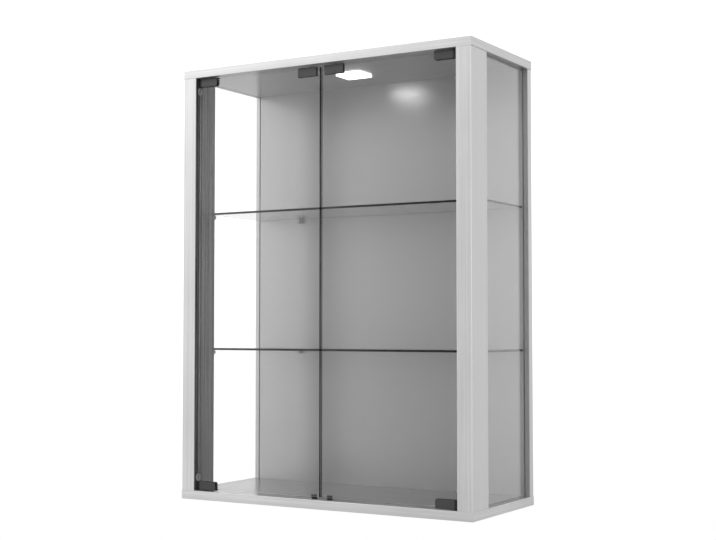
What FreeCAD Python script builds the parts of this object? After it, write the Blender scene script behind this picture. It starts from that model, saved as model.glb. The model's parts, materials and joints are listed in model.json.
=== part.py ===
"""Wall display cabinet: boards, glass sides and shelves, two pivoting glass doors, push latch and lamp.

Millimetres. X runs across the cabinet, with zero at its middle. Y runs from the front to the wall, with
zero on the rear plane, so the front has negative Y. Z is up, with zero at the height of the hanger holes.
"""
import FreeCAD, Part
import math
import os

Vector = FreeCAD.Vector
ORIGIN = Vector(0, 0, 0)
X_AXIS = Vector(1, 0, 0)
Y_AXIS = Vector(0, 1, 0)
Z_AXIS = Vector(0, 0, 1)
SIDES = {"left": -1, "right": 1}
ENDS = {"upper": 1, "lower": -1}

# Carcass
width = 600.0
depth = 250.0
height = 800.0
panel_t = 16.0
back_t = 16.0
side_setback = 1.0
board_round = 1.0
post_w = 28.0
post_d = 62.0

# Side glass
side_glass_t = 4.0
side_glass_inset = 10.0
groove_depth = 6.0
groove_gap = 0.2
groove_play = 1.0
glass_arris = 0.5

# Shelves and their supports
shelf_t = 4.0
lower_shelf_rise = 258.5
shelf_pitch = 257.5
shelf_front_gap = 7.0
shelf_rear_gap = 1.0
shelf_side_gap = 1.5
pin_r = 2.5
pin_hold = 12.0
sleeve_r = 4.3
sleeve_glass_gap = 0.5
back_pin_reach = 10.0
post_pin_bearing = 5.5
back_pin_share = 0.627

# Doors and pivot hinges
door_glass_t = 4.0
door_front_gap = 10.4
door_post_gap = 3.0
door_centre_gap = 3.0
clamp_gap = 1.5
clamp_w = 41.0
clamp_h = 15.6
clamp_front_wall = 1.7
clamp_rear_wall = 2.9
clamp_roof = 3.0
clamp_corner_r = 3.0
clamp_arris = 0.6
pad_t = 0.5
pad_margin = 1.0
grub_r = 2.0
grub_sink = 0.2
grub_edge = 9.0
grub_pitch = 14.0
grub_socket_r = 1.15
grub_socket_sides = 6
grub_socket_depth = 1.5
pivot_r = 3.0
pivot_inset = 9.0
pivot_fit = 0.05
pivot_end_gap = 2.0
bush_r = 4.5
bush_cover = 4.0
bush_flange_r = 6.5
bush_flange_gap = 0.3

# Strike plates, latch and door stops
strike_w = 39.3
strike_reach = 15.6
strike_t = 1.2
strike_edge = 6.7
strike_gap = 0.1
strike_arris = 0.4
latch_w = 48.0
latch_d = 33.0
latch_h = 10.0
latch_front_gap = 1.4
latch_round = 1.0
plunger_r = 3.5
plunger_x = 14.0
plunger_length = 24.0
plunger_gap = 0.3
plunger_fit = 0.1
plunger_bore_depth = 28.5
magnet_r = 2.4
magnet_t = 2.0
spring_wire_r = 0.35
spring_wire_sides = 8
spring_coil_r = 2.6
spring_turns = 4
spring_end_gap = 0.1
latch_screw_r = 1.5
latch_screw_head_r = 3.0
latch_screw_head_t = 1.8
latch_screw_hold = 8.0
latch_screw_share = 0.25
screw_cross_w = 0.8
screw_cross_span = 3.2
screw_cross_depth = 1.0
stop_w = 9.5
stop_d = 5.0
stop_h = 8.0
stop_x = 16.0
stop_gap = 0.3
stop_round = 1.2
stop_peg_r = 2.0
stop_peg_length = 8.0

# Lamp
lamp_w = 50.0
lamp_d = 46.0
lamp_recess = 5.0
lamp_proud = 3.2
lamp_wall = 1.2
lamp_round = 1.0
lamp_gap = 0.2
light_board_w = 34.0
light_board_d = 34.0
light_board_t = 1.0
light_chip_w = 3.0
light_chip_t = 0.6
light_chip_pitch = 10.0
light_chip_rows = 3
lamp_screw_x = 20.0
lamp_screw_r = 1.25
lamp_screw_head_r = 2.2
lamp_screw_head_t = 1.2
lamp_screw_hold = 7.0
wire_hole_r = 1.5
grommet_r = 5.0
grommet_bore_r = 3.0

# Cam locks and dowels
cam_r = 7.5
cam_t = 12.5
cam_sink = 0.2
cam_edge = 24.0
cam_axis_depth = 8.0
cam_setback = 14.0
cam_cross_w = 1.6
cam_cross_span = 8.0
cam_cross_depth = 2.5
bolt_r = 3.0
bolt_hold = 11.0
bolt_neck_r = 2.0
bolt_neck_length = 5.0
bolt_head_r = 3.5
bolt_head_t = 3.0
bolt_play = 0.3
dowel_r = 4.0
dowel_cover = 6.0
dowel_hold = 20.0
fastener_fit = 0.1
hole_end_gap = 0.5
post_dowel_share = 0.66
back_cam_share = 0.66
back_dowel_share = 0.33

# Wall hangers
hanger_drop = 60.0
hanger_inset = 60.0
hanger_w = 30.0
hanger_h = 62.0
hanger_t = 2.0
hanger_round = 4.0
hanger_gap = 0.2
keyhole_r = 5.0
keyslot_r = 2.6
keyslot_rise = 14.0
pocket_margin = 3.0
pocket_depth = 9.0
hanger_screw_r = 1.75
hanger_screw_head_r = 3.2
hanger_screw_head_t = 1.6
hanger_screw_hold = 9.0
hanger_screw_pitch = 48.0

# Cuts run past the faces that they open, and edges are found within a small miss
overrun = 1.0
edge_miss = 0.01
quarter_turn_deg = 90

# Planes that the pieces share
half_w = width / 2
front_y = -depth
top_z = hanger_drop
bottom_z = top_z - height
ceiling_z = top_z - panel_t
floor_z = bottom_z + panel_t
post_outer_x = half_w - side_setback
post_inner_x = post_outer_x - post_w
post_mid_x = (post_outer_x + post_inner_x) / 2
post_rear_y = front_y + post_d
back_front_y = -back_t
glass_outer_x = half_w - side_glass_inset
glass_inner_x = glass_outer_x - side_glass_t
lower_shelf_z = floor_z + lower_shelf_rise
shelf_undersides = {"upper": lower_shelf_z + shelf_pitch, "lower": lower_shelf_z}
shelf_front_y = post_rear_y + shelf_front_gap
post_pin_x = glass_inner_x - sleeve_glass_gap - sleeve_r
post_pin_reach = shelf_front_gap + post_pin_bearing
back_pin_x = half_w * back_pin_share
door_y = front_y + door_front_gap
door_rear_y = door_y + door_glass_t / 2
door_outer_x = post_inner_x - door_post_gap
door_inner_x = door_centre_gap / 2
door_end_gap = clamp_gap + clamp_roof
pivot_x = door_outer_x - pivot_inset
bush_length = panel_t - bush_cover
bush_flange_t = clamp_gap - bush_flange_gap
slot_half = door_glass_t / 2 + pad_t
clamp_free_end = clamp_gap + clamp_h
strike_rear_y = door_rear_y + strike_gap + strike_t
latch_front_y = strike_rear_y + latch_front_gap
plunger_front_y = strike_rear_y + plunger_gap
plunger_rear_y = plunger_front_y + plunger_length
plunger_bore_end_y = latch_front_y + plunger_bore_depth
plunger_z = ceiling_z - latch_h / 2
lamp_y = -depth / 2
lamp_top_z = ceiling_z + lamp_recess
hanger_x = half_w - hanger_inset
back_mid_y = -back_t / 2
JOINT_FACES = {1: ceiling_z, -1: floor_z}


def block(x0, x1, y0, y1, z0, z1):
    """A box between two corners."""
    return Part.makeBox(x1 - x0, y1 - y0, z1 - z0, Vector(x0, y0, z0))


def rod(radius, start, direction, length):
    """A round bar from a start point."""
    return Part.makeCylinder(radius, length, start, direction)


def on_side(shape, side):
    """A right-hand shape as it is, or mirrored to the left."""
    if side > 0:
        return shape
    return shape.mirror(ORIGIN, X_AXIS)


def edges_along(shape, axis):
    """The straight edges that run along an axis."""
    found = []
    for edge in shape.Edges:
        ends = edge.Vertexes
        run = ends[-1].Point - ends[0].Point
        if run.cross(axis).Length < edge_miss:
            found.append(edge)
    return found


def board(x0, x1, y0, y1, z0, z1):
    """A panel with every arris rounded."""
    raw = block(x0, x1, y0, y1, z0, z1)
    return raw.makeFillet(board_round, raw.Edges)


def pane(x0, x1, y0, y1, z0, z1):
    """A sheet of glass with its arrises ground off."""
    raw = block(x0, x1, y0, y1, z0, z1)
    return raw.makeChamfer(glass_arris, raw.Edges)


def sunk_polygon(corners, into):
    """A prism from an outline's corners into a face."""
    return Part.Face(Part.makePolygon(corners + corners[:1])).extrude(into)


def ring(middle, radius, sides):
    """The corners of an upright polygon that faces the front and the rear."""
    corners = []
    for corner in range(sides):
        angle = 2 * math.pi * corner / sides
        run = X_AXIS * (radius * math.cos(angle))
        rise = Z_AXIS * (radius * math.sin(angle))
        corners.append(middle + run + rise)
    return corners


def cross_recess(middle, into, across, bar_w, span):
    """The two bars of a cross recess, sunk into a face from its middle."""
    bars = []
    for run in (across, across.cross(into).normalize()):
        half_span = run * (span / 2)
        half_width = run.cross(into).normalize() * (bar_w / 2)
        corners = [
            middle + half_span + half_width,
            middle + half_span - half_width,
            middle - half_span - half_width,
            middle - half_span + half_width,
        ]
        bars.append(sunk_polygon(corners, into))
    return bars


def save(name, shape):
    """Writes one node."""
    shape.exportStep("parts/" + name + ".step")


def glass_groove(side):
    """The groove that holds a side pane in the post, the back panel, the floor and the ceiling."""
    groove = block(
        glass_inner_x - groove_gap,
        glass_outer_x + groove_gap,
        post_rear_y - groove_depth,
        back_front_y + groove_depth,
        floor_z - groove_depth,
        ceiling_z + groove_depth,
    )
    return on_side(groove, side)


def side_glass(side):
    """A side pane, standing in its lower groove."""
    glass = pane(
        glass_inner_x,
        glass_outer_x,
        post_rear_y - groove_depth + groove_play,
        back_front_y + groove_depth - groove_play,
        floor_z - groove_depth,
        ceiling_z + groove_depth - groove_play,
    )
    return on_side(glass, side)


def cam_joints():
    """Where cam locks join the posts and the back panel to top and bottom, and the way each cam faces."""
    post_x = post_inner_x + cam_axis_depth
    post_y = front_y + cam_setback
    joints = [((post_x * side, post_y), X_AXIS * -side) for side in SIDES.values()]
    for share in (-back_cam_share, 0, back_cam_share):
        joints.append(((half_w * share, -cam_axis_depth), Y_AXIS))
    return joints


def dowel_places():
    """Where dowels line up the same boards."""
    post_y = front_y + post_d * post_dowel_share
    places = [(post_mid_x * side, post_y) for side in SIDES.values()]
    for share in (-back_dowel_share, back_dowel_share):
        places.append((half_w * share, back_mid_y))
    return places


def joint_rod(place, end, radius, start, stop):
    """A round bar across the inner face of the top or bottom, between two distances into the cabinet."""
    first = Vector(place[0], place[1], JOINT_FACES[end] - end * start)
    return rod(radius, first, Z_AXIS * -end, stop - start)


def cam_bolt(place, end):
    """The bolt in the end panel, with the neck and head that its cam pulls on."""
    head_start = cam_edge - bolt_head_t / 2
    neck_start = head_start - bolt_neck_length
    shank = joint_rod(place, end, bolt_r, -bolt_hold, neck_start)
    neck = joint_rod(place, end, bolt_neck_r, neck_start, head_start)
    head = joint_rod(place, end, bolt_head_r, head_start, head_start + bolt_head_t)
    return shank.fuse([neck, head]).removeSplitter()


def cam_bolt_holes(place, end):
    """The bolt's tight hole in the end panel, and its wide one in the board."""
    tight = joint_rod(place, end, bolt_r + fastener_fit, -bolt_hold - hole_end_gap, 0)
    wide = joint_rod(place, end, bolt_head_r + bolt_play, 0, cam_edge)
    return [tight, wide]


def cam_face(place, normal, end):
    """The middle of the board's face over a cam."""
    bolt_head = Vector(place[0], place[1], JOINT_FACES[end] - end * cam_edge)
    return bolt_head + normal * cam_axis_depth


def cam_lock(place, normal, end):
    """A cam in a board's face, open towards the bolt that it holds."""
    face = cam_face(place, normal, end)
    body = rod(cam_r, face - normal * cam_sink, -normal, cam_t)
    mouth_end = cam_edge + bolt_head_t / 2 + bolt_play
    mouth = joint_rod(place, end, bolt_head_r + bolt_play, cam_edge - cam_r - overrun, mouth_end)
    into = normal * -(cam_sink + cam_cross_depth)
    return body.cut([mouth] + cross_recess(face, into, Z_AXIS, cam_cross_w, cam_cross_span))


def cam_hole(place, normal, end):
    """The round pocket of a cam."""
    start = cam_face(place, normal, end) + normal * overrun
    return rod(cam_r + fastener_fit, start, -normal, overrun + cam_sink + cam_t + fastener_fit)


def dowel(place, end, fit=0, end_gap=0):
    """One dowel, or its hole when given a fit."""
    start = dowel_cover - panel_t - end_gap
    return joint_rod(place, end, dowel_r + fit, start, dowel_hold + end_gap)


def joint_holes(end):
    """All holes for cam locks and dowels at one end of the carcass."""
    holes = [dowel(place, end, fastener_fit, hole_end_gap) for place in dowel_places()]
    for place, normal in cam_joints():
        holes += cam_bolt_holes(place, end)
        holes.append(cam_hole(place, normal, end))
    return holes


def hinge_bush(side, end, fit=0):
    """A flanged bush in the top or bottom panel, or its seat when given a fit."""
    face = JOINT_FACES[end]
    into_panel = Z_AXIS * end
    place = Vector(pivot_x, door_y, face)
    barrel = rod(bush_r + fit, place, into_panel, bush_length + fit)
    if fit:
        return on_side(barrel, side)
    flange = rod(bush_flange_r, place, -into_panel, bush_flange_t)
    through = bush_flange_t + bush_length
    bore_start = place - into_panel * (bush_flange_t + overrun)
    bore = rod(pivot_r + pivot_fit, bore_start, into_panel, through + overrun * 2)
    return on_side(barrel.fuse(flange).removeSplitter().cut(bore), side)


def latch_screw_places():
    """Where the latch is screwed to the ceiling."""
    shares = (latch_screw_share, 1 - latch_screw_share)
    return [Vector(0, latch_front_y + latch_d * share, ceiling_z) for share in shares]


def latch_screw(place, fit=0):
    """A countersunk screw up through the latch, or its hole when given a fit."""
    underside = place - Z_AXIS * latch_h
    head = Part.makeCone(
        latch_screw_head_r + fit, latch_screw_r + fit, latch_screw_head_t, underside, Z_AXIS
    )
    shank = rod(latch_screw_r + fit, underside, Z_AXIS, latch_h + latch_screw_hold + fit)
    screw = head.fuse(shank).removeSplitter()
    if fit:
        return screw
    into = Z_AXIS * screw_cross_depth
    return screw.cut(cross_recess(underside, into, Y_AXIS, screw_cross_w, screw_cross_span))


def lamp_screw(side, fit=0):
    """A countersunk screw up through the lamp base, or its hole when given a fit."""
    place = Vector(lamp_screw_x, lamp_y, ceiling_z)
    head = Part.makeCone(lamp_screw_head_r + fit, lamp_screw_r + fit, lamp_screw_head_t, place, Z_AXIS)
    shank = rod(lamp_screw_r + fit, place, Z_AXIS, lamp_recess + lamp_screw_hold + fit)
    return on_side(head.fuse(shank).removeSplitter(), side)


def stop_peg(side, fit=0):
    """The peg of a door stop, or its hole in the floor when given a fit."""
    place = Vector(stop_x, door_rear_y + stop_gap + stop_d / 2, floor_z)
    return on_side(rod(stop_peg_r + fit, place, -Z_AXIS, stop_peg_length + fit), side)


def door_stop(side):
    """A rubber block on the floor, just behind the door glass."""
    stop_front_y = door_rear_y + stop_gap
    body = block(
        stop_x - stop_w / 2,
        stop_x + stop_w / 2,
        stop_front_y,
        stop_front_y + stop_d,
        floor_z,
        floor_z + stop_h,
    )
    body = body.makeFillet(stop_round, edges_along(body, Z_AXIS))
    return on_side(body, side).fuse(stop_peg(side)).removeSplitter()


def top_panel():
    """The top board, with the lamp's recess and the holes and grooves of what it carries."""
    cuts = joint_holes(1)
    for side in SIDES.values():
        cuts += [glass_groove(side), hinge_bush(side, 1, fastener_fit), lamp_screw(side, fastener_fit)]
    cuts += [latch_screw(place, fastener_fit) for place in latch_screw_places()]
    cuts.append(
        block(
            -lamp_w / 2 - lamp_gap,
            lamp_w / 2 + lamp_gap,
            lamp_y - lamp_d / 2 - lamp_gap,
            lamp_y + lamp_d / 2 + lamp_gap,
            ceiling_z - overrun,
            lamp_top_z,
        )
    )
    cable_hole_start = Vector(0, lamp_y, lamp_top_z - overrun)
    cable_hole_length = top_z - lamp_top_z + overrun * 2
    cuts.append(rod(grommet_r + fastener_fit, cable_hole_start, Z_AXIS, cable_hole_length))
    return board(-half_w, half_w, front_y, 0, ceiling_z, top_z).cut(cuts)


def bottom_panel():
    """The bottom board."""
    cuts = joint_holes(-1)
    for side in SIDES.values():
        cuts += [glass_groove(side), hinge_bush(side, -1, fastener_fit), stop_peg(side, fastener_fit)]
    return board(-half_w, half_w, front_y, 0, bottom_z, floor_z).cut(cuts)


def post_pin_starts():
    """Where the right post's shelf pins leave its rear face."""
    return [Vector(post_pin_x, post_rear_y, z - sleeve_r) for z in shelf_undersides.values()]


def back_pin_starts():
    """Where the shelf pins on the right leave the front of the back panel."""
    return [Vector(back_pin_x, back_front_y, z - sleeve_r) for z in shelf_undersides.values()]


def front_post(side):
    """A front upright, grooved behind for the side glass."""
    raw = block(post_inner_x, post_outer_x, front_y, post_rear_y, floor_z, ceiling_z)
    post = raw.makeFillet(board_round, edges_along(raw, Z_AXIS))
    hole_depth = pin_hold + hole_end_gap
    cuts = [glass_groove(1)]
    cuts += [rod(pin_r + fastener_fit, start, -Y_AXIS, hole_depth) for start in post_pin_starts()]
    return on_side(post.cut(cuts), side).cut(joint_holes(1) + joint_holes(-1))


def hanger_place(side):
    """The centre of a hanger's entry hole, on the rear plane."""
    return Vector(hanger_x * side, 0, 0)


def hanger_screw_places(side):
    """Where a hanger plate is screwed to the back panel."""
    lift = Vector(0, 0, keyslot_rise / 2)
    reach = Vector(0, 0, hanger_screw_pitch / 2)
    middle = hanger_place(side) + lift
    return [middle + reach, middle - reach]


def hanger_screw(place, fit=0):
    """A countersunk screw into the back panel, or its hole when given a fit."""
    head = Part.makeCone(
        hanger_screw_head_r + fit, hanger_screw_r + fit, hanger_screw_head_t, place, -Y_AXIS
    )
    shank = rod(hanger_screw_r + fit, place, -Y_AXIS, hanger_t + hanger_screw_hold + fit)
    screw = head.fuse(shank).removeSplitter()
    if fit:
        return screw
    into = Y_AXIS * -screw_cross_depth
    return screw.cut(cross_recess(place, into, Z_AXIS, screw_cross_w, screw_cross_span))


def hanger_plate_block(side, gap=0):
    """The outline of a hanger plate, or its recess when given a gap."""
    place = hanger_place(side)
    middle_z = keyslot_rise / 2
    plate = block(
        place.x - hanger_w / 2 - gap,
        place.x + hanger_w / 2 + gap,
        -hanger_t,
        0,
        middle_z - hanger_h / 2 - gap,
        middle_z + hanger_h / 2 + gap,
    )
    return plate.makeFillet(hanger_round, edges_along(plate, Y_AXIS))


def wall_hanger(side):
    """A keyhole plate: the screw head enters below and its shank slides up the slot."""
    place = hanger_place(side)
    front = place - Y_AXIS * (hanger_t + overrun)
    through = hanger_t + overrun * 2
    slot_end = front + Z_AXIS * keyslot_rise
    entry = rod(keyhole_r, front, Y_AXIS, through)
    slot_round = rod(keyslot_r, slot_end, Y_AXIS, through)
    slot = block(
        place.x - keyslot_r, place.x + keyslot_r, front.y, front.y + through, 0, keyslot_rise
    )
    cuts = [entry, slot, slot_round]
    cuts += [hanger_screw(screw_place, fastener_fit) for screw_place in hanger_screw_places(side)]
    return hanger_plate_block(side).cut(cuts)


def hanger_pocket(side):
    """The pocket behind the keyhole, in which the screw head moves."""
    place = hanger_place(side)
    reach = keyhole_r + pocket_margin
    return block(
        place.x - reach,
        place.x + reach,
        -hanger_t - pocket_depth,
        0,
        -reach,
        keyslot_rise + reach,
    )


def back_panel():
    """The back board between top and bottom."""
    raw = block(-post_outer_x, post_outer_x, back_front_y, 0, floor_z, ceiling_z)
    panel = raw.makeFillet(board_round, edges_along(raw, Z_AXIS))
    cuts = joint_holes(1) + joint_holes(-1)
    for side in SIDES.values():
        cuts += [glass_groove(side), hanger_plate_block(side, hanger_gap), hanger_pocket(side)]
        cuts += [hanger_screw(place, fastener_fit) for place in hanger_screw_places(side)]
        for start in back_pin_starts():
            hole = rod(pin_r + fastener_fit, start, Y_AXIS, pin_hold + hole_end_gap)
            cuts.append(on_side(hole, side))
    return panel.cut(cuts)


def shelf(underside_z):
    """A glass shelf between the side panes."""
    half = glass_inner_x - shelf_side_gap
    rear_y = back_front_y - shelf_rear_gap
    return pane(-half, half, shelf_front_y, rear_y, underside_z, underside_z + shelf_t)


def shelf_pins(level):
    """The four steel pins of one shelf."""
    index = list(shelf_undersides).index(level)
    post_start = post_pin_starts()[index]
    back_start = back_pin_starts()[index]
    front_pin = rod(pin_r, post_start - Y_AXIS * pin_hold, Y_AXIS, pin_hold + post_pin_reach)
    rear_pin = rod(pin_r, back_start + Y_AXIS * pin_hold, -Y_AXIS, pin_hold + back_pin_reach)
    pins = [on_side(pin, side) for side in SIDES.values() for pin in (front_pin, rear_pin)]
    return Part.makeCompound(pins)


def shelf_sleeves(level):
    """The four soft sleeves that the shelf lies on."""
    index = list(shelf_undersides).index(level)
    sleeves = []
    for start, direction, reach in (
        (post_pin_starts()[index], Y_AXIS, post_pin_reach),
        (back_pin_starts()[index], -Y_AXIS, back_pin_reach),
    ):
        sleeve = rod(sleeve_r, start, direction, reach)
        bore = rod(pin_r + fastener_fit, start - direction * overrun, direction, reach + overrun * 2)
        sleeves.append(sleeve.cut(bore))
    return Part.makeCompound([on_side(sleeve, side) for side in SIDES.values() for sleeve in sleeves])


def level_span(end, near, far):
    """Heights from two distances off the ceiling, or off the floor."""
    first = JOINT_FACES[end] - end * near
    second = JOINT_FACES[end] - end * far
    return min(first, second), max(first, second)


def door_glass(side):
    """One frameless door pane."""
    glass = pane(
        door_inner_x,
        door_outer_x,
        door_y - door_glass_t / 2,
        door_rear_y,
        floor_z + door_end_gap,
        ceiling_z - door_end_gap,
    )
    return on_side(glass, side)


def grub_places(end):
    """Where the grub screws of a clamp press on its rear pad."""
    low, high = level_span(end, door_end_gap, clamp_free_end)
    first_x = door_outer_x - clamp_w + grub_edge
    middle_z = (low + high) / 2
    return [Vector(x, door_y + slot_half, middle_z) for x in (first_x, first_x + grub_pitch)]


def grub_screw(place, fit=0):
    """A grub screw in the rear wall of a clamp, or its hole when given a fit."""
    if fit:
        return rod(grub_r + fit, place - Y_AXIS * overrun, Y_AXIS, clamp_rear_wall + overrun * 2)
    length = clamp_rear_wall - grub_sink
    end_face = place + Y_AXIS * length
    socket = sunk_polygon(ring(end_face, grub_socket_r, grub_socket_sides), Y_AXIS * -grub_socket_depth)
    return rod(grub_r, place, Y_AXIS, length).cut(socket)


def hinge_clamp(side, end):
    """A black channel over an outer corner of the door glass, with a rounded free corner."""
    inner_x = door_outer_x - clamp_w
    low, high = level_span(end, clamp_gap, clamp_free_end)
    clamp = block(
        inner_x,
        door_outer_x,
        door_y - slot_half - clamp_front_wall,
        door_y + slot_half + clamp_rear_wall,
        low,
        high,
    )
    free_z = low if end > 0 else high
    free_corner = []
    for edge in edges_along(clamp, Y_AXIS):
        point = edge.Vertexes[0].Point
        if abs(point.x - inner_x) < edge_miss and abs(point.z - free_z) < edge_miss:
            free_corner.append(edge)
    clamp = clamp.makeFillet(clamp_corner_r, free_corner)
    front_edges = [edge for edge in clamp.Edges if edge.BoundBox.YMax < door_y - slot_half]
    clamp = clamp.makeFillet(clamp_arris, front_edges)
    slot_low, slot_high = level_span(end, door_end_gap, clamp_free_end + overrun)
    slot = block(
        inner_x - overrun,
        door_outer_x + overrun,
        door_y - slot_half,
        door_y + slot_half,
        slot_low,
        slot_high,
    )
    roof_face = Vector(pivot_x, door_y, JOINT_FACES[end] - end * (clamp_gap - overrun))
    pin_hole = rod(pivot_r + pivot_fit, roof_face, Z_AXIS * -end, clamp_roof + overrun * 2)
    cuts = [slot, pin_hole] + [grub_screw(place, fastener_fit) for place in grub_places(end)]
    return on_side(clamp.cut(cuts), side)


def hinge_pin(side, end):
    """The pivot pin, from the roof of the clamp into its bush."""
    start = Vector(pivot_x, door_y, JOINT_FACES[end] - end * door_end_gap)
    length = door_end_gap + bush_length - pivot_end_gap
    return on_side(rod(pivot_r, start, Z_AXIS * end, length), side)


def hinge_pads(side):
    """Thin liners between the clamps and both faces of the glass."""
    pads = []
    for end in ENDS.values():
        low, high = level_span(end, door_end_gap + pad_margin, clamp_free_end - pad_margin)
        left = door_outer_x - clamp_w + pad_margin
        right = door_outer_x - pad_margin
        pads.append(block(left, right, door_y - slot_half, door_y - door_glass_t / 2, low, high))
        pads.append(block(left, right, door_rear_y, door_y + slot_half, low, high))
    return Part.makeCompound([on_side(pad, side) for pad in pads])


def hinge_grub_screws(side):
    """The grub screws of one door's clamps."""
    screws = [grub_screw(place) for end in ENDS.values() for place in grub_places(end)]
    return Part.makeCompound([on_side(screw, side) for screw in screws])


def strike_plate(side):
    """A folded black clip over the upper edge of the glass, which the latch magnet holds."""
    inner_x = door_inner_x + strike_edge
    glass_top_z = ceiling_z - door_end_gap
    inner_half = door_glass_t / 2 + strike_gap
    outer_half = inner_half + strike_t
    low = glass_top_z - strike_reach
    high = glass_top_z + strike_gap + strike_t
    clip = block(inner_x, inner_x + strike_w, door_y - outer_half, door_y + outer_half, low, high)
    clip = clip.makeFillet(strike_arris, clip.Edges)
    slot = block(
        inner_x - overrun,
        inner_x + strike_w + overrun,
        door_y - inner_half,
        door_y + inner_half,
        low - overrun,
        glass_top_z + strike_gap,
    )
    return on_side(clip.cut(slot), side)


def latch_body():
    """The housing of the double push latch, under the ceiling."""
    raw = block(
        -latch_w / 2,
        latch_w / 2,
        latch_front_y,
        latch_front_y + latch_d,
        ceiling_z - latch_h,
        ceiling_z,
    )
    body = raw.makeFillet(latch_round, edges_along(raw, Z_AXIS))
    cuts = [latch_screw(place, fastener_fit) for place in latch_screw_places()]
    for side in SIDES.values():
        mouth = Vector(plunger_x * side, latch_front_y - overrun, plunger_z)
        cuts.append(rod(plunger_r + plunger_fit, mouth, Y_AXIS, plunger_bore_depth + overrun))
    return body.cut(cuts)


def plunger_tip(side):
    """The centre of a plunger's front face."""
    return Vector(plunger_x * side, plunger_front_y, plunger_z)


def latch_magnet(side, fit=0):
    """The magnet let into a plunger's tip, or its seat when given a fit."""
    return rod(magnet_r + fit, plunger_tip(side), Y_AXIS, magnet_t)


def latch_plunger(side):
    """A spring-loaded plunger that pushes its door open."""
    return rod(plunger_r, plunger_tip(side), Y_AXIS, plunger_length).cut(latch_magnet(side, fastener_fit))


def spring_section():
    """The many-sided section of the spring's wire."""
    corners = ring(X_AXIS * spring_coil_r, spring_wire_r, spring_wire_sides)
    return Part.makePolygon(corners + corners[:1])


def latch_spring(side):
    """The coil spring behind a plunger, pressed together while the door is shut."""
    room = plunger_bore_end_y - plunger_rear_y - spring_end_gap * 2
    helix_height = room - spring_wire_r * 2
    helix = Part.makeHelix(helix_height / spring_turns, helix_height, spring_coil_r)
    coil = Part.Wire(helix.Edges).makePipeShell([spring_section()], True, True)
    coil.rotate(ORIGIN, X_AXIS, -quarter_turn_deg)
    coil.translate(Vector(plunger_x * side, plunger_rear_y + spring_end_gap + spring_wire_r, plunger_z))
    return coil


def lamp_base():
    """The metal base of the lamp, let into the ceiling."""
    base = block(
        -lamp_w / 2, lamp_w / 2, lamp_y - lamp_d / 2, lamp_y + lamp_d / 2, ceiling_z, lamp_top_z
    )
    base = base.makeFillet(lamp_round, edges_along(base, Z_AXIS))
    cuts = [lamp_screw(side, fastener_fit) for side in SIDES.values()]
    wire_hole_start = Vector(0, lamp_y, ceiling_z - overrun)
    cuts.append(rod(wire_hole_r, wire_hole_start, Z_AXIS, lamp_recess + overrun * 2))
    return base.cut(cuts)


def lamp_diffuser():
    """The opal cap of the lamp, proud of the ceiling."""
    low = ceiling_z - lamp_proud
    half_x = lamp_w / 2
    half_y = lamp_d / 2
    cap = block(-half_x, half_x, lamp_y - half_y, lamp_y + half_y, low, ceiling_z)
    cap = cap.makeFillet(lamp_round, edges_along(cap, Z_AXIS))
    hollow = block(
        -half_x + lamp_wall,
        half_x - lamp_wall,
        lamp_y - half_y + lamp_wall,
        lamp_y + half_y - lamp_wall,
        low + lamp_wall,
        ceiling_z + overrun,
    )
    return cap.cut(hollow)


def lamp_light_board():
    """The board with its grid of light chips, under the base."""
    low = ceiling_z - light_board_t
    plate = block(
        -light_board_w / 2,
        light_board_w / 2,
        lamp_y - light_board_d / 2,
        lamp_y + light_board_d / 2,
        low,
        ceiling_z,
    )
    first = -light_chip_pitch * (light_chip_rows - 1) / 2
    chips = []
    for column in range(light_chip_rows):
        for row in range(light_chip_rows):
            x = first + light_chip_pitch * column
            y = lamp_y + first + light_chip_pitch * row
            half = light_chip_w / 2
            chips.append(block(x - half, x + half, y - half, y + half, low - light_chip_t, low))
    return plate.fuse(chips).removeSplitter()


def cable_grommet():
    """The flush lining of the lamp's cable hole in the top panel."""
    start = Vector(0, lamp_y, lamp_top_z)
    length = top_z - lamp_top_z
    bore = rod(grommet_bore_r, start - Z_AXIS * overrun, Z_AXIS, length + overrun * 2)
    return rod(grommet_r, start, Z_AXIS, length).cut(bore)


def carcass():
    """Every piece that stays still."""
    pieces = {
        "top_panel": top_panel(),
        "bottom_panel": bottom_panel(),
        "back_panel": back_panel(),
        "latch_body": latch_body(),
        "latch_screws": Part.makeCompound([latch_screw(place) for place in latch_screw_places()]),
        "lamp_base": lamp_base(),
        "lamp_diffuser": lamp_diffuser(),
        "lamp_light_board": lamp_light_board(),
        "lamp_screws": Part.makeCompound([lamp_screw(side) for side in SIDES.values()]),
        "lamp_cable_grommet": cable_grommet(),
    }
    cams = [cam_lock(place, normal, end) for end in ENDS.values() for place, normal in cam_joints()]
    bolts = [cam_bolt(place, end) for end in ENDS.values() for place, normal in cam_joints()]
    dowels = [dowel(place, end) for end in ENDS.values() for place in dowel_places()]
    pieces["cam_locks"] = Part.makeCompound(cams)
    pieces["cam_bolts"] = Part.makeCompound(bolts)
    pieces["carcass_dowels"] = Part.makeCompound(dowels)
    hanger_screws = []
    for name, side in SIDES.items():
        pieces[name + "_front_post"] = front_post(side)
        pieces[name + "_side_glass"] = side_glass(side)
        pieces[name + "_door_stop"] = door_stop(side)
        pieces[name + "_wall_hanger"] = wall_hanger(side)
        pieces[name + "_latch_spring"] = latch_spring(side)
        hanger_screws += [hanger_screw(place) for place in hanger_screw_places(side)]
    pieces["wall_hanger_screws"] = Part.makeCompound(hanger_screws)
    for level, underside_z in shelf_undersides.items():
        pieces[level + "_shelf"] = shelf(underside_z)
        pieces[level + "_shelf_pins"] = shelf_pins(level)
        pieces[level + "_shelf_sleeves"] = shelf_sleeves(level)
    for name, end in ENDS.items():
        bushes = [hinge_bush(side, end) for side in SIDES.values()]
        pieces[name + "_hinge_bushes"] = Part.makeCompound(bushes)
    return pieces


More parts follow.
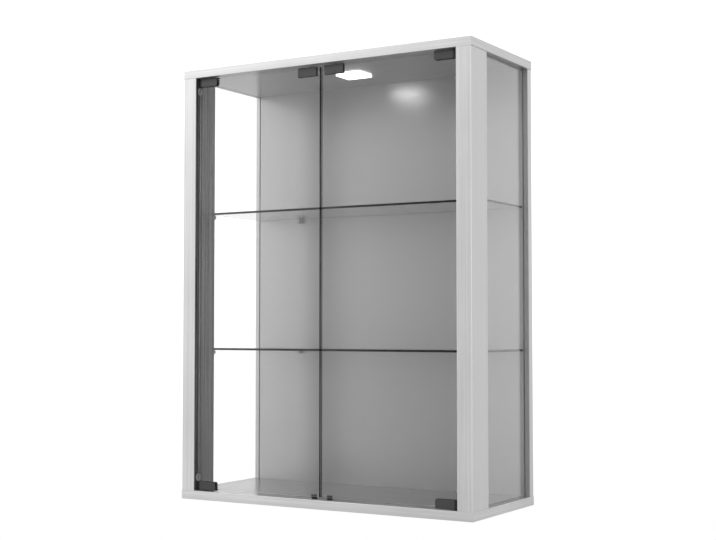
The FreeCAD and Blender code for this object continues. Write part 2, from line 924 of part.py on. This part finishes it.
def moving_pieces():
    """The doors with what they carry, and the latch plungers."""
    pieces = {}
    for name, side in SIDES.items():
        pieces[name + "_door_glass"] = door_glass(side)
        for level, end in ENDS.items():
            pieces[name + "_" + level + "_hinge_clamp"] = hinge_clamp(side, end)
            pieces[name + "_" + level + "_hinge_pin"] = hinge_pin(side, end)
        pieces[name + "_hinge_pads"] = hinge_pads(side)
        pieces[name + "_hinge_grub_screws"] = hinge_grub_screws(side)
        pieces[name + "_strike_plate"] = strike_plate(side)
        pieces[name + "_latch_plunger"] = latch_plunger(side)
        pieces[name + "_latch_magnet"] = latch_magnet(side)
    return pieces


def main():
    os.makedirs("parts", exist_ok=True)
    for name, shape in {**carcass(), **moving_pieces()}.items():
        save(name, shape)


main()
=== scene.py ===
"""Looks of the wall display cabinet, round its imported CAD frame. Metres, in the axes of the CAD model."""
import json
import math

import bpy
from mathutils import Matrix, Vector


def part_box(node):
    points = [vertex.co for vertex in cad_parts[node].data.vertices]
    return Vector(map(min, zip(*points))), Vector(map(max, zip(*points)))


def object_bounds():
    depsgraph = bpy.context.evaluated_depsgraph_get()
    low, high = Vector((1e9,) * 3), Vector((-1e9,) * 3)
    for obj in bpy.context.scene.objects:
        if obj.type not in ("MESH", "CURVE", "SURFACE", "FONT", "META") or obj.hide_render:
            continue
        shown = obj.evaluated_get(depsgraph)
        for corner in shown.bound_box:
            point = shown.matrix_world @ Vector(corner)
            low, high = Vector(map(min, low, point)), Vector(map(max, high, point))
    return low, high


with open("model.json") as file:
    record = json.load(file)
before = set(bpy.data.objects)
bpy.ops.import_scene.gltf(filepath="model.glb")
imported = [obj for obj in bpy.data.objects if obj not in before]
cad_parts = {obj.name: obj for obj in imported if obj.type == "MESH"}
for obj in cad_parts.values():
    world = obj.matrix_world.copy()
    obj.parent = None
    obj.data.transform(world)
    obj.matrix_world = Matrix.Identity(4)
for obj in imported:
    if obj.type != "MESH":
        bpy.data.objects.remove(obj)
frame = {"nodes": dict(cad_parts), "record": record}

cad_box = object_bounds()
nodes = frame["nodes"]
MM = 0.001
MIDDLE_Z = (cad_box[0].z + cad_box[1].z) / 2

# Camera, from the photograph's own perspective
CAMERA_AZIMUTH_DEG = 30.73
CAMERA_ELEVATION_DEG = -2.54
CAMERA_DISTANCE = 2.4195
CAMERA_TARGET = Vector((0.0077, -0.125, -0.3173))
CAMERA_LENS_MM = 66.27
CAMERA_SENSOR_MM = 36.0

# Studio, brightness by the compass angle from the cabinet's front, level with it and above it
# The doors mirror the narrow dark bar and bright bar near -33 degrees
LEVEL_STOPS = (
    (-180, 0.6),
    (-165, 1.3),
    (-115, 1.45),
    (-80, 1.6),
    (-48, 1.6),
    (-41, 1.45),
    (-36, 1.2),
    (-34.1, 1.1),
    (-33.5, 0.5),
    (-32.8, 0.45),
    (-32.4, 0.95),
    (-31.6, 0.85),
    (-30.4, 0.48),
    (-26, 0.32),
    (-8, 0.35),
    (20, 0.75),
    (50, 1.4),
    (80, 0.85),
    (110, 0.4),
    (140, 0.35),
    (149, 1.0),
    (159, 1.4),
    (168, 0.4),
    (180, 0.6),
)
HIGH_STOPS = (
    (-180, 0.35),
    (-130, 0.85),
    (-75, 0.9),
    (-45, 0.5),
    (-10, 0.45),
    (30, 1.05),
    (80, 1.3),
    (130, 0.85),
    (180, 0.35),
)
FULL_TURN_DEG = 360
FRONT_TURN = 0.5

# Studio, the upward share of a direction where the level light gives way to the high and the low light
HIGH_START = 0.15
HIGH_END = 0.5
LOW_END = -0.45
LOW_START = 0.08
LOW_SHARE = 0.25

# Backdrop as the camera sees it, before any bounce off a surface
BACKDROP_WHITE = 1.0
BACKDROP_WHITE_THROUGH_GLASS = 1.25
BOUNCE_LIMIT = 0.5

# Stage floor
FLOOR_DROP = 0.9
FLOOR_HALF = 6.0
FLOOR_GREY = 0.8
FLOOR_BOUNCE_GREY = 0.45
FLOOR_ROUGHNESS = 0.9
FLOOR_FADE_START = 1.5
FLOOR_FADE_END = 5.0

# Key lamp, a soft box in front, at the left and above
KEY_TARGET = Vector((0.0, -0.25, -0.34))
KEY_AZIMUTH_DEG = -52
KEY_ELEVATION_DEG = 44
KEY_DISTANCE = 1.8
KEY_SIZE = 0.7
KEY_POWER = 10.0

# Faces, told apart by the share of their normal along an axis
FACE_LIMIT = 0.8
GLASS_FACE_LIMIT = 0.9
GLASS_EDGE_LIMIT = 0.3
CORNER_START = 0.2
CORNER_END = 0.97

# Noise, its layers of finer detail
COARSE_DETAIL = 2.0
FINE_DETAIL = 3.0

# Silver boards
SILVER_GREY = 0.78
BOARD_METALLIC = 0.4
BOARD_ROUGHNESS = (0.37, 0.53)
BROAD_STREAKS = 330.0
FINE_STREAKS = 1100.0
STREAK_SHARE = 0.006
CLOUD_SCALE = 9.0
CLOUD_SHARE = 0.25
GRAIN_CONTRAST = 0.42
SIDE_GRAIN_CONTRAST = 0.12
GRAIN_DEPTH = 0.03 * MM
OUTER_FOIL = 0.15
INNER_FOIL = 1.0
# Painted highlight: the rounded outer corners of the posts are lighter, fully metallic and smoother, a bright
# line for the light they catch
CORNER_PAINTED_HIGHLIGHT_GREY = 0.95
CORNER_METALLIC = 1.0
CORNER_ROUGHNESS = 0.2
# Painted shade: the inner faces of the posts take a much darker grey, spread by the grain, for the shade
# inside the cabinet
POST_INNER_START = 0.38
POST_INNER_END = 0.62
POST_INNER_PAINTED_SHADE_DARK = 0.02
POST_INNER_PAINTED_SHADE_LIGHT = 0.28
POST_FOIL_ROUGHNESS = 0.08
# Painted shade: the inner faces of the top and bottom panels are darker greys than the outside
CEILING_PAINTED_SHADE_GREY = 0.66
CEILING_FOIL_ROUGHNESS = 0.18
INNER_FLOOR_PAINTED_SHADE_GREY = 0.34
INNER_FLOOR_FOIL_ROUGHNESS = 0.22

# Back panel
BACK_GREY = 0.74
# Painted shade on the strip right of the right pane and on the back panel's ends
BACK_RIM_PAINTED_SHADE_GREY = 0.48
BACK_END_PAINTED_SHADE_GREY = 0.64
BACK_METALLIC = 0.6
BACK_ROUGHNESS = (0.24, 0.35)
BACK_FOIL = 0.3
BACK_FOIL_ROUGHNESS = 0.2
SPECKLE_SCALE = 700.0
SPECKLE_CONTRAST = 0.07
PEEL_SCALE = 420.0
PEEL_DEPTH = 0.2 * MM

# Black metal
BLACK_FACE_GREY = 0.062
# Painted shade: near black on the faces not to front or rear, and on the ends near the posts
BLACK_PAINTED_SHADE_GREY = 0.008
BLACK_END = 8 * MM
BLACK_SCALE = 1500.0
BLACK_CONTRAST = 0.15
BLACK_ROUGHNESS = (0.56, 0.68)
BLACK_DEPTH = 0.02 * MM

# Glass
GLASS_DENSITY = 10.0
GLASS_IOR = 1.5
# Painted shade: the ground edges of the glass are near black and metallic, standing in for the dark look of
# glass edges
EDGE_PAINTED_SHADE_GREY = 0.004
EDGE_ROUGHNESS = 0.35
MEETING_HALF = 0.1

# Lit cap of the lamp
OPAL_SCALE = 300.0
OPAL_GREYS = (0.88, 0.92)
OPAL_ROUGHNESS = 0.35
LAMP_STRENGTH = 4.0

# Plain finishes, with the scale and depth of their uneven surface
PLAIN_CONTRAST = 0.1
PLAIN_ROUGHNESS_SPREAD = 0.06
PLATED = {"scale": 900.0, "depth": 0.005 * MM}
MOULDED = {"scale": 1200.0, "depth": 0.01 * MM}
MILKY = {"scale": 800.0, "depth": 0.005 * MM}
RUBBERY = {"scale": 1500.0, "depth": 0.02 * MM}
WOODY = {"scale": 400.0, "depth": 0.02 * MM}
CAST = {"scale": 700.0, "depth": 0.02 * MM}


def new_material(name):
    """An empty node material with its shader and output."""
    material = bpy.data.materials.new(name)
    material.use_nodes = True
    tree = material.node_tree
    tree.nodes.clear()
    output = tree.nodes.new("ShaderNodeOutputMaterial")
    shader = tree.nodes.new("ShaderNodeBsdfPrincipled")
    tree.links.new(shader.outputs["BSDF"], output.inputs["Surface"])
    return material, tree, shader


def grey(value):
    """A neutral colour."""
    return (value, value, value, 1.0)


def feed(tree, socket, value):
    """Links a socket to another one, or sets it to a number or colour."""
    if isinstance(value, bpy.types.NodeSocket):
        tree.links.new(value, socket)
    else:
        socket.default_value = value


def dress(tree, shader, values):
    """Feeds the shader's sockets by their names."""
    for name, value in values.items():
        feed(tree, shader.inputs[name], value)


def math_node(tree, operation, first, second=0.0):
    """A math node on sockets or numbers."""
    node = tree.nodes.new("ShaderNodeMath")
    node.operation = operation
    for socket, value in zip(node.inputs, (first, second)):
        feed(tree, socket, value)
    return node.outputs[0]


def map_range(tree, value, low, high):
    """A value from 0 to 1 spread between two numbers."""
    node = tree.nodes.new("ShaderNodeMapRange")
    tree.links.new(value, node.inputs["Value"])
    node.inputs["To Min"].default_value = low
    node.inputs["To Max"].default_value = high
    return node.outputs["Result"]


def spread(tree, value, start, end, low, high):
    """A value that passes smoothly from low to high as another passes from start to end."""
    node = tree.nodes.new("ShaderNodeMapRange")
    node.interpolation_type = "SMOOTHSTEP"
    tree.links.new(value, node.inputs["Value"])
    for name, number in (("From Min", start), ("From Max", end), ("To Min", low), ("To Max", high)):
        node.inputs[name].default_value = number
    return node.outputs["Result"]


def noise(tree, scale, detail=FINE_DETAIL, squash=(1.0, 1.0, 1.0)):
    """Noise on the piece's own coordinates, drawn out where the squash is small."""
    coordinates = tree.nodes.new("ShaderNodeTexCoord")
    mapping = tree.nodes.new("ShaderNodeMapping")
    mapping.inputs["Scale"].default_value = squash
    texture = tree.nodes.new("ShaderNodeTexNoise")
    texture.inputs["Scale"].default_value = scale
    texture.inputs["Detail"].default_value = detail
    tree.links.new(coordinates.outputs["Object"], mapping.inputs["Vector"])
    tree.links.new(mapping.outputs["Vector"], texture.inputs["Vector"])
    return texture.outputs["Fac"]


def mixed_value(tree, factor, first, second):
    """One value fading into another."""
    mix = tree.nodes.new("ShaderNodeMix")
    for name, value in (("Factor", factor), ("A", first), ("B", second)):
        feed(tree, mix.inputs[name], value)
    return mix.outputs["Result"]


def bump(tree, height, depth):
    """A bump of a real depth from a height of 0 to 1."""
    node = tree.nodes.new("ShaderNodeBump")
    node.inputs["Strength"].default_value = 1.0
    node.inputs["Distance"].default_value = depth
    tree.links.new(height, node.inputs["Height"])
    return node.outputs["Normal"]


def tinted(tree, value, low, high):
    """A colour between two as a value passes from 0 to 1."""
    ramp = tree.nodes.new("ShaderNodeValToRGB")
    ramp.color_ramp.elements[0].color = low
    ramp.color_ramp.elements[1].color = high
    tree.links.new(value, ramp.inputs["Fac"])
    return ramp.outputs["Color"]


def contrasted(tree, value, shade, contrast):
    """A grey made darker and lighter by a share as a shade passes from 0 to 1."""
    return math_node(tree, "MULTIPLY", value, map_range(tree, shade, 1 - contrast, 1 + contrast))


def axis_of(tree, coordinates, axis):
    """One axis of the piece's own normals or coordinates."""
    source = tree.nodes.new("ShaderNodeTexCoord")
    split = tree.nodes.new("ShaderNodeSeparateXYZ")
    tree.links.new(source.outputs[coordinates], split.inputs["Vector"])
    return split.outputs[axis]


def from_middle(tree):
    """The distance to the left or right from the cabinet's middle."""
    return math_node(tree, "ABSOLUTE", axis_of(tree, "Object", "X"))


def faces_along(tree, axis, limit=FACE_LIMIT):
    """1 on the faces that look along an axis, either way."""
    share = math_node(tree, "ABSOLUTE", axis_of(tree, "Normal", axis))
    return math_node(tree, "GREATER_THAN", share, limit)


def outward_share(tree, axis, middle=0.0):
    """How far a face looks away from the cabinet's middle along an axis, from -1 to 1."""
    side = math_node(tree, "SIGN", math_node(tree, "SUBTRACT", axis_of(tree, "Object", axis), middle))
    return math_node(tree, "MULTIPLY", side, axis_of(tree, "Normal", axis))


def faces_inward(tree, axis, middle=0.0):
    """1 on the faces that look towards the cabinet's middle along an axis."""
    return math_node(tree, "LESS_THAN", outward_share(tree, axis, middle), -FACE_LIMIT)


def outer_corner(tree):
    """1 on the rounded upright corners that look away from the cabinet's middle."""
    outward = outward_share(tree, "X")
    turned = math_node(tree, "GREATER_THAN", outward, CORNER_START)
    flat = math_node(tree, "GREATER_THAN", outward, CORNER_END)
    return math_node(tree, "SUBTRACT", turned, flat)


def brushed(tree, along):
    """Brush streaks that run along one axis, the mean of broad and fine ones."""
    squash = [1.0, 1.0, 1.0]
    squash["XYZ".index(along)] = STREAK_SHARE
    broad = noise(tree, BROAD_STREAKS, COARSE_DETAIL, squash)
    fine = noise(tree, FINE_STREAKS, FINE_DETAIL, squash)
    return math_node(tree, "MULTIPLY", math_node(tree, "ADD", broad, fine), 0.5)


def streaks(tree, along, along_on_ends):
    """Brush streaks along one axis, and along another on the ends of a board."""
    return mixed_value(tree, faces_along(tree, "X"), brushed(tree, along), brushed(tree, along_on_ends))


def shaded(tree, grain, value, contrast=GRAIN_CONTRAST):
    """A grey with the light and dark of the streaks and of broad clouds."""
    shade = mixed_value(tree, CLOUD_SHARE, grain, noise(tree, CLOUD_SCALE, COARSE_DETAIL))
    return contrasted(tree, value, shade, contrast)


def post_laminate():
    """Silver laminate with upright streaks, with painted shade darkening the inner faces and a painted
    highlight on the outer corners.
    """
    material, tree, shader = new_material("post_silver")
    grain = brushed(tree, "Z")
    inward = faces_inward(tree, "X")
    corner = outer_corner(tree)
    front = shaded(tree, grain, SILVER_GREY)
    side = shaded(tree, grain, SILVER_GREY, SIDE_GRAIN_CONTRAST)
    outer = mixed_value(tree, faces_along(tree, "X"), front, side)
    # Painted shade: the inner faces get a dark grey spread by the grain
    inner = spread(tree, grain, POST_INNER_START, POST_INNER_END, POST_INNER_PAINTED_SHADE_DARK, POST_INNER_PAINTED_SHADE_LIGHT)
    flat = mixed_value(tree, inward, outer, inner)
    flat_roughness = map_range(tree, grain, *BOARD_ROUGHNESS)
    dress(tree, shader, {
        # Painted highlight: lighter grey, full metal and less roughness on the outer corners
        "Base Color": mixed_value(tree, corner, flat, CORNER_PAINTED_HIGHLIGHT_GREY),
        "Roughness": mixed_value(tree, corner, flat_roughness, CORNER_ROUGHNESS),
        "Metallic": map_range(tree, corner, BOARD_METALLIC, CORNER_METALLIC),
        "Normal": bump(tree, grain, GRAIN_DEPTH),
        "Coat Weight": map_range(tree, inward, OUTER_FOIL, INNER_FOIL),
        "Coat Roughness": POST_FOIL_ROUGHNESS,
    })
    return material


def panel_laminate(name, inner_painted_shade_grey, foil_roughness):
    """Silver laminate with streaks along the front and across the ends, with painted shade darkening the
    inner face.
    """
    material, tree, shader = new_material(name)
    grain = streaks(tree, "X", "Y")
    inward = faces_inward(tree, "Z", MIDDLE_Z)
    dress(tree, shader, {
        # Painted shade: the inward face takes the darker inner grey
        "Base Color": shaded(tree, grain, map_range(tree, inward, SILVER_GREY, inner_painted_shade_grey)),
        "Roughness": map_range(tree, grain, *BOARD_ROUGHNESS),
        "Metallic": BOARD_METALLIC,
        "Normal": bump(tree, grain, GRAIN_DEPTH),
        "Coat Weight": map_range(tree, inward, OUTER_FOIL, INNER_FOIL),
        "Coat Roughness": foil_roughness,
    })
    return material


def back_laminate():
    """The back panel's smoother, more metallic laminate, with painted shade darkening the strip outside the
    right pane and the ends.
    """
    material, tree, shader = new_material("back_board_silver")
    speckle = noise(tree, SPECKLE_SCALE)
    peel = noise(tree, PEEL_SCALE, COARSE_DETAIL)
    pane_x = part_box("right_side_glass")[1].x
    outside = math_node(tree, "GREATER_THAN", axis_of(tree, "Object", "X"), pane_x)
    # Painted shade: darker grey on the strip outside the right pane and on the ends
    broad = mixed_value(tree, outside, BACK_GREY, BACK_RIM_PAINTED_SHADE_GREY)
    value = mixed_value(tree, faces_along(tree, "X"), broad, BACK_END_PAINTED_SHADE_GREY)
    dress(tree, shader, {
        "Base Color": contrasted(tree, value, speckle, SPECKLE_CONTRAST),
        "Roughness": map_range(tree, speckle, *BACK_ROUGHNESS),
        "Metallic": BACK_METALLIC,
        "Normal": bump(tree, peel, PEEL_DEPTH),
        "Coat Weight": BACK_FOIL,
        "Coat Roughness": BACK_FOIL_ROUGHNESS,
    })
    return material


def satin_black():
    """Black coating, satin on the faces to front and rear, with painted shade, a deeper black, on the other
    faces and on the ends near the posts.
    """
    material, tree, shader = new_material("black_metal_satin")
    mottle = noise(tree, BLACK_SCALE)
    satin_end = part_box("right_front_post")[0].x - BLACK_END
    clear_of_post = math_node(tree, "LESS_THAN", from_middle(tree), satin_end)
    satin = math_node(tree, "MULTIPLY", faces_along(tree, "Y"), clear_of_post)
    # Painted shade: deeper black away from the faces to front and rear and near the posts
    value = map_range(tree, satin, BLACK_PAINTED_SHADE_GREY, BLACK_FACE_GREY)
    dress(tree, shader, {
        "Base Color": contrasted(tree, value, mottle, BLACK_CONTRAST),
        "Roughness": map_range(tree, mottle, *BLACK_ROUGHNESS),
        "Normal": bump(tree, mottle, BLACK_DEPTH),
    })
    return material


def clear_inside(tree, clear_beyond):
    """1 on what is seen from inside the glass, further from the cabinet's middle than a limit."""
    inside = tree.nodes.new("ShaderNodeNewGeometry").outputs["Backfacing"]
    beyond = math_node(tree, "GREATER_THAN", from_middle(tree), clear_beyond)
    return math_node(tree, "MULTIPLY", inside, beyond)


def glass(name, broad_axis, dark_axis=None, clear_beyond=0.0):
    """Clear float glass with ground edges that carry painted shade, near black from outside: all of them, or
    only those along one axis.
    """
    material, tree, shader = new_material(name)
    edge = math_node(tree, "SUBTRACT", 1.0, faces_along(tree, broad_axis, GLASS_FACE_LIMIT))
    covered = math_node(tree, "SUBTRACT", 1.0, clear_inside(tree, clear_beyond))
    dark = math_node(tree, "MULTIPLY", edge, covered)
    if dark_axis:
        dark = math_node(tree, "MULTIPLY", dark, faces_along(tree, dark_axis, GLASS_EDGE_LIMIT))
    dress(tree, shader, {
        # Painted shade: the edges seen from outside are near black
        "Base Color": tinted(tree, dark, grey(1.0), grey(EDGE_PAINTED_SHADE_GREY)),
        "Transmission Weight": map_range(tree, dark, 1.0, 0.0),
        "Metallic": dark,
        "Roughness": map_range(tree, edge, 0.0, EDGE_ROUGHNESS),
        "IOR": GLASS_IOR,
    })
    absorption = tree.nodes.new("ShaderNodeVolumeAbsorption")
    absorption.inputs["Color"].default_value = grey(0.0)
    absorption.inputs["Density"].default_value = GLASS_DENSITY
    output = shader.outputs["BSDF"].links[0].to_node
    tree.links.new(absorption.outputs["Volume"], output.inputs["Volume"])
    return material


def plain(name, colour, metallic, roughness, scale, depth):
    """A moulded, plated, cast or turned finish with a fine uneven surface."""
    material, tree, shader = new_material(name)
    mottle = noise(tree, scale)
    low = tuple(channel * (1 - PLAIN_CONTRAST) for channel in colour) + (1.0,)
    high = tuple(min(1.0, channel * (1 + PLAIN_CONTRAST)) for channel in colour) + (1.0,)
    smoothest = roughness - PLAIN_ROUGHNESS_SPREAD
    roughest = roughness + PLAIN_ROUGHNESS_SPREAD
    dress(tree, shader, {
        "Base Color": tinted(tree, mottle, low, high),
        "Roughness": map_range(tree, mottle, smoothest, roughest),
        "Metallic": metallic,
        "Normal": bump(tree, mottle, depth),
    })
    return material


def lit_opal():
    """The lit cap of the lamp."""
    material, tree, shader = new_material("lamp_opal_lit")
    low, high = OPAL_GREYS
    dress(tree, shader, {
        "Base Color": tinted(tree, noise(tree, OPAL_SCALE), grey(low), grey(high)),
        "Roughness": OPAL_ROUGHNESS,
        "Emission Color": grey(1.0),
        "Emission Strength": LAMP_STRENGTH,
    })
    return material


# Finishes by the record's material slots
MATERIALS = {
    "back_board": back_laminate(),
    "black_metal": satin_black(),
    "zinc_steel": plain("zinc_steel_bright", (0.62, 0.62, 0.6), metallic=1.0, roughness=0.32, **PLATED),
    "black_steel": plain("black_steel_oxide", (0.05, 0.05, 0.05), metallic=0.6, roughness=0.4, **PLATED),
    "pale_plastic": plain("pale_plastic_moulded", (0.7, 0.7, 0.7), metallic=0.0, roughness=0.45, **MOULDED),
    "bush_plastic": plain("bush_plastic_dark", (0.12, 0.12, 0.12), metallic=0.0, roughness=0.5, **MOULDED),
    "clear_plastic": plain("clear_plastic_milky", (0.75, 0.75, 0.75), metallic=0.0, roughness=0.35, **MILKY),
    "dark_rubber": plain("dark_rubber_matt", (0.05, 0.05, 0.05), metallic=0.0, roughness=0.75, **RUBBERY),
    "beech": plain("beech_dowel", (0.6, 0.42, 0.26), metallic=0.0, roughness=0.6, **WOODY),
    "lamp_metal": plain("lamp_metal_plain", (0.75, 0.75, 0.75), metallic=1.0, roughness=0.4, **PLATED),
    "lamp_opal": lit_opal(),
    "light_board": plain("light_board_white", (0.85, 0.85, 0.82), metallic=0.0, roughness=0.4, **PLATED),
}

# Finishes of the nodes whose names end so, ahead of those by slot
OWN_FINISHES = {
    "front_post": post_laminate(),
    "top_panel": panel_laminate("top_silver", CEILING_PAINTED_SHADE_GREY, CEILING_FOIL_ROUGHNESS),
    "bottom_panel": panel_laminate("bottom_silver", INNER_FLOOR_PAINTED_SHADE_GREY, INNER_FLOOR_FOIL_ROUGHNESS),
    "cam_locks": plain("cast_zinc_cam", (0.72, 0.72, 0.71), metallic=0.2, roughness=0.5, **CAST),
    "side_glass": glass("side_glass_clear", "X", dark_axis="Y"),
    "door_glass": glass("door_glass_clear", "Y", dark_axis="X", clear_beyond=MEETING_HALF),
    "shelf": glass("shelf_clear", "Z"),
}


def finish_of(node, slot):
    """The material of a CAD node: its own by the ending of its name, or else that of its slot."""
    for ending, made in OWN_FINISHES.items():
        if node.endswith(ending):
            return made
    return MATERIALS[slot]


def dress_nodes():
    """Gives every CAD node its finish."""
    for part in frame["record"]["subparts"]:
        node = nodes[part["node"]]
        node.data.materials.clear()
        node.data.materials.append(finish_of(part["node"], part["material_slot"]))


def direction(azimuth_deg, elevation_deg):
    """The direction at a compass angle from the cabinet's front and at an angle upwards."""
    azimuth = math.radians(azimuth_deg)
    elevation = math.radians(elevation_deg)
    flat = math.cos(elevation)
    return Vector((math.sin(azimuth) * flat, -math.cos(azimuth) * flat, math.sin(elevation)))


def aimed(name, data, target, away, distance):
    """A camera or lamp at a distance from its target, looking at it."""
    thing = bpy.data.objects.new(name, data)
    thing.location = target + away * distance
    thing.rotation_euler = (-away).to_track_quat("-Z", "Y").to_euler()
    bpy.context.scene.collection.objects.link(thing)
    return thing


def make_camera():
    """A camera where the photograph was taken from."""
    data = bpy.data.cameras.new("camera")
    data.lens = CAMERA_LENS_MM
    data.sensor_width = CAMERA_SENSOR_MM
    away = direction(CAMERA_AZIMUTH_DEG, CAMERA_ELEVATION_DEG)
    bpy.context.scene.camera = aimed("camera", data, CAMERA_TARGET, away, CAMERA_DISTANCE)


def straight_view(tree):
    """White for what the camera sees directly or through glass, and 0 for light that reaches the object."""
    path = tree.nodes.new("ShaderNodeLightPath")
    bounces = math_node(tree, "ADD", path.outputs["Diffuse Depth"], path.outputs["Glossy Depth"])
    unbounced = math_node(tree, "LESS_THAN", bounces, BOUNCE_LIMIT)
    direct = math_node(tree, "MULTIPLY", path.outputs["Is Camera Ray"], BACKDROP_WHITE)
    through = math_node(tree, "MULTIPLY", path.outputs["Is Transmission Ray"], BACKDROP_WHITE_THROUGH_GLASS)
    return math_node(tree, "MULTIPLY", unbounced, math_node(tree, "MAXIMUM", direct, through))


def compass_turn(tree, split):
    """The compass angle of a direction from the cabinet's front, as a share of a full turn."""
    forward = math_node(tree, "MULTIPLY", split.outputs["Y"], -1.0)
    angle = math_node(tree, "ARCTAN2", split.outputs["X"], forward)
    return math_node(tree, "ADD", math_node(tree, "DIVIDE", angle, 2 * math.pi), FRONT_TURN)


def brightness_round(tree, turn, stops):
    """Brightness by compass angle, between stops in degrees."""
    ramp = tree.nodes.new("ShaderNodeValToRGB")
    elements = ramp.color_ramp.elements
    while len(elements) > 1:
        elements.remove(elements[-1])
    for index, (degrees, brightness) in enumerate(stops):
        position = degrees / FULL_TURN_DEG + FRONT_TURN
        element = elements[0] if index == 0 else elements.new(position)
        element.position = position
        element.color = grey(brightness)
    tree.links.new(turn, ramp.inputs["Fac"])
    return ramp.outputs["Color"]


def make_world():
    """A soft studio: bright at the left and the right, dark in front and below, white to the camera."""
    world = bpy.data.worlds.new("studio")
    bpy.context.scene.world = world
    world.use_nodes = True
    tree = world.node_tree
    tree.nodes.clear()
    output = tree.nodes.new("ShaderNodeOutputWorld")
    background = tree.nodes.new("ShaderNodeBackground")
    tree.links.new(background.outputs[0], output.inputs["Surface"])
    coordinates = tree.nodes.new("ShaderNodeTexCoord")
    split = tree.nodes.new("ShaderNodeSeparateXYZ")
    tree.links.new(coordinates.outputs["Generated"], split.inputs["Vector"])
    turn = compass_turn(tree, split)
    rise = split.outputs["Z"]
    level = brightness_round(tree, turn, LEVEL_STOPS)
    high = brightness_round(tree, turn, HIGH_STOPS)
    upper = mixed_value(tree, spread(tree, rise, HIGH_START, HIGH_END, 0.0, 1.0), level, high)
    studio = math_node(tree, "MULTIPLY", upper, spread(tree, rise, LOW_END, LOW_START, LOW_SHARE, 1.0))
    tree.links.new(math_node(tree, "MAXIMUM", straight_view(tree), studio), background.inputs["Color"])


def make_floor():
    """A pale round floor well below the cabinet, which hangs on a wall, fading into the backdrop."""
    bpy.ops.mesh.primitive_plane_add(size=FLOOR_HALF * 2, location=(0, 0, cad_box[0].z - FLOOR_DROP))
    floor = bpy.context.object
    floor.name = "floor"
    material, tree, shader = new_material("floor_pale")
    coordinates = tree.nodes.new("ShaderNodeTexCoord")
    length = tree.nodes.new("ShaderNodeVectorMath")
    length.operation = "LENGTH"
    tree.links.new(coordinates.outputs["Object"], length.inputs[0])
    dress(tree, shader, {
        "Base Color": tinted(tree, straight_view(tree), grey(FLOOR_BOUNCE_GREY), grey(FLOOR_GREY)),
        "Roughness": FLOOR_ROUGHNESS,
        "Alpha": spread(tree, length.outputs["Value"], FLOOR_FADE_START, FLOOR_FADE_END, 1.0, 0.0),
    })
    floor.data.materials.append(material)


def make_key():
    """The soft box that models the fronts."""
    data = bpy.data.lights.new("key", "AREA")
    data.size = KEY_SIZE
    data.energy = KEY_POWER
    aimed("key", data, KEY_TARGET, direction(KEY_AZIMUTH_DEG, KEY_ELEVATION_DEG), KEY_DISTANCE)


bpy.context.scene.view_settings.view_transform = "Standard"
dress_nodes()
make_camera()
make_world()
make_floor()
make_key()
